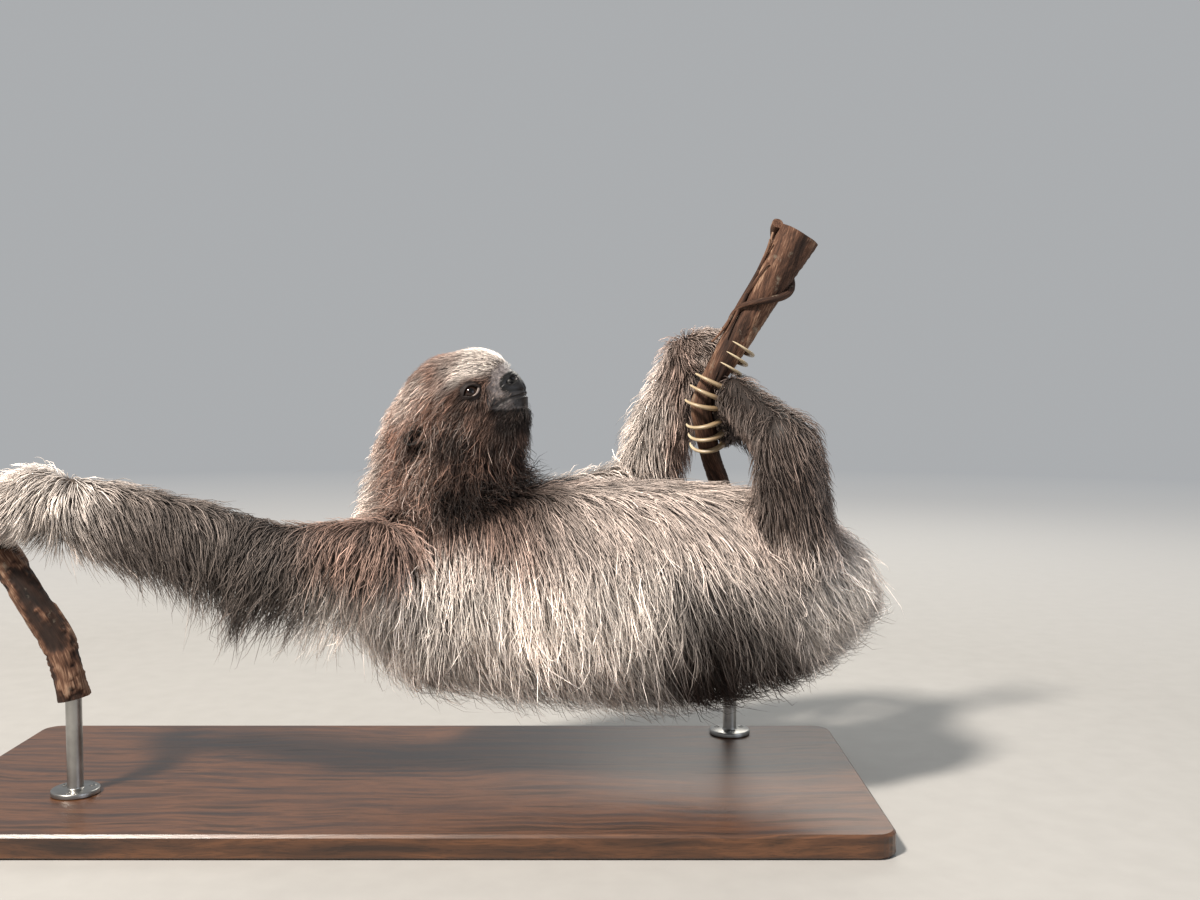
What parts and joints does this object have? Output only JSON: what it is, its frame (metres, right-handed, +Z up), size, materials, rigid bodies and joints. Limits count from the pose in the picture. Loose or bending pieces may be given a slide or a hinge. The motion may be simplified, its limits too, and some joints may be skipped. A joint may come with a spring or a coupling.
{
  "type": "three-toed sloth display model",
  "caption": "Life-size still model of a three-toed sloth hanging belly up between two cut branches, on a flat display stand with rods",
  "frame": {"origin": "centre of the underside of the stand's base board", "axes": "+Z up; +X along the board and the sloth's back from its head to its rump; -Y is the sloth's right side"},
  "size_m": [0.7331, 0.28, 0.466],
  "materials": {
    "coat": "long coarse grey-brown hair, matt, with a paler side and a darker face",
    "ear_skin": "thin dark skin, matt",
    "muzzle_skin": "bare grey-black skin, damp and slightly glossy at the nose",
    "eye": "wet dark brown eye, glossy",
    "claw_horn": "horn, smooth with fine lengthwise streaks",
    "branch_bark": "reddish brown fibrous bark, matt",
    "board_wood": "dark stained hardwood, satin lacquer",
    "rod_steel": "brushed stainless steel"
  },
  "bodies": {
    "root": {"head": "coat", "neck": "coat", "trunk": "coat", "tail": "coat", "upper_arm_right": "coat", "forearm_right": "coat", "hand_right": "coat", "thigh_right": "coat", "shank_right": "coat", "foot_right": "coat", "ear_right": "ear_skin", "eye_right": "eye", "upper_arm_left": "coat", "forearm_left": "coat", "hand_left": "coat", "thigh_left": "coat", "shank_left": "coat", "foot_left": "coat", "ear_left": "ear_skin", "eye_left": "eye", "muzzle": "muzzle_skin", "claw_hand_right_1": "claw_horn", "claw_hand_right_2": "claw_horn", "claw_hand_right_3": "claw_horn", "claw_hand_left_1": "claw_horn", "claw_hand_left_2": "claw_horn", "claw_hand_left_3": "claw_horn", "claw_foot_right_1": "claw_horn", "claw_foot_right_2": "claw_horn", "claw_foot_right_3": "claw_horn", "claw_foot_left_1": "claw_horn", "claw_foot_left_2": "claw_horn", "claw_foot_left_3": "claw_horn", "perch_left": "branch_bark", "perch_right": "branch_bark", "stand_base": "board_wood", "stand_rod_left": "rod_steel", "stand_rod_right": "rod_steel"}
  },
  "joints": []
}
